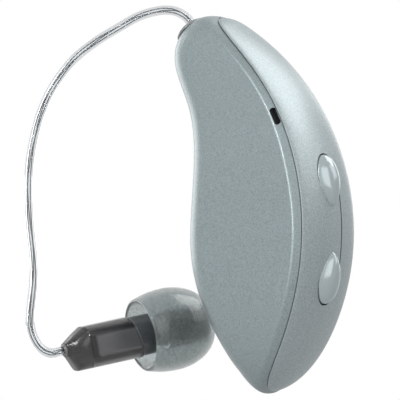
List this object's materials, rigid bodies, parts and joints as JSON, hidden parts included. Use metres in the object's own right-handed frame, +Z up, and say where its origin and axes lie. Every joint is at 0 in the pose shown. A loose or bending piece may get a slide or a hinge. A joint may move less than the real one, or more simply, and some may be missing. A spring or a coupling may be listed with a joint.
{
  "type": "behind the ear hearing aid",
  "caption": "Grey behind the ear hearing aid: slim housing with a spine cover and rocker switch, and a receiver with a silicone dome on a shaped lead.",
  "frame": {"origin": "the point on the front of the body, on its middle plane, that rests on the root of the ear", "axes": "+Z up along the body, +X from the front to the spine with the rocker switch, +Y towards the head of a wearer who wears it on the left ear"},
  "size_m": [0.0302, 0.0187, 0.0371],
  "materials": {
    "shell_grey": "satin",
    "cover_grey": "satin",
    "rocker_grey": "gloss",
    "gasket_rubber": "matt",
    "inner_plastic": "matt",
    "dark_plastic": "matt",
    "smoked_plastic": "gloss",
    "steel": "satin",
    "plated_contact": "polished",
    "flex_film": "satin",
    "board_green": "satin",
    "chip_black": "matt",
    "capacitor_tan": "satin",
    "cell_core": "matt",
    "foam": "matt",
    "ferrite": "matt",
    "copper_wire": "satin",
    "lead_clear": "gloss",
    "guard_white": "satin",
    "dome_silicone": "satin"
  },
  "bodies": {
    "hearing_aid_body": {"housing_tub": "shell_grey", "spine_cover": "cover_grey", "cover_gasket": "gasket_rubber", "rocker_pin": "steel", "switch_board": "flex_film", "upper_switch_base": "dark_plastic", "lower_switch_base": "dark_plastic", "upper_snap_dome": "steel", "lower_snap_dome": "steel", "near_slot_mesh": "dark_plastic", "far_slot_mesh": "dark_plastic", "front_inlet_mesh": "dark_plastic", "front_microphone": "steel", "rear_microphone": "steel", "front_mic_gasket": "gasket_rubber", "rear_mic_duct": "gasket_rubber", "chassis": "inner_plastic", "battery_can": "steel", "battery_core": "cell_core", "battery_lid": "steel", "battery_ring": "dark_plastic", "near_foam_pad": "foam", "far_foam_pad": "foam", "lid_tab": "plated_contact", "can_tab": "plated_contact", "ferrite_sheet": "ferrite", "charging_coil": "copper_wire", "main_board": "board_green", "dsp_chip": "chip_black", "radio_chip": "chip_black", "charging_chip": "chip_black", "capacitors": "capacitor_tan", "telecoil_core": "ferrite", "telecoil_winding": "copper_wire", "antenna_strip": "flex_film", "lead_socket": "dark_plastic", "socket_contacts": "plated_contact"},
    "rocker_body": {"rocker": "rocker_grey", "rocker_lever": "inner_plastic"},
    "lead_body": {"lead_plug": "dark_plastic", "plug_contacts": "plated_contact", "plug_collar": "smoked_plastic", "lead_tube": "lead_clear", "lead_wires": "copper_wire", "lead_grommet": "gasket_rubber", "receiver_end_cap": "smoked_plastic", "receiver_shell": "smoked_plastic", "receiver_driver": "steel", "driver_solder_board": "board_green", "solder_joints": "steel", "receiver_nozzle": "dark_plastic"},
    "dome_body": {"dome": "dome_silicone"},
    "wax_guard_body": {"wax_guard": "guard_white", "wax_mesh": "steel"}
  },
  "joints": [
    {"name": "rocker_tilt", "type": "hinge", "parent": "hearing_aid_body", "child": "rocker_body", "pos_m": [0.01382, 0, -0.00533], "axis": [0, 1, 0], "range_deg": [-2, 2], "stiffness_Nm_per_rad": 0.2},
    {"name": "lead_unplug", "type": "slide", "parent": "hearing_aid_body", "child": "lead_body", "axis": [-0.6921, 0, 0.7218], "range_m": [0, 0.005]},
    {"name": "dome_pull", "type": "slide", "parent": "lead_body", "child": "dome_body", "axis": [0.4102, 0.8918, 0.1908], "range_m": [0, 0.006]},
    {"name": "wax_guard_pull", "type": "slide", "parent": "lead_body", "child": "wax_guard_body", "axis": [0.4102, 0.8918, 0.1908], "range_m": [0, 0.003]}
  ]
}
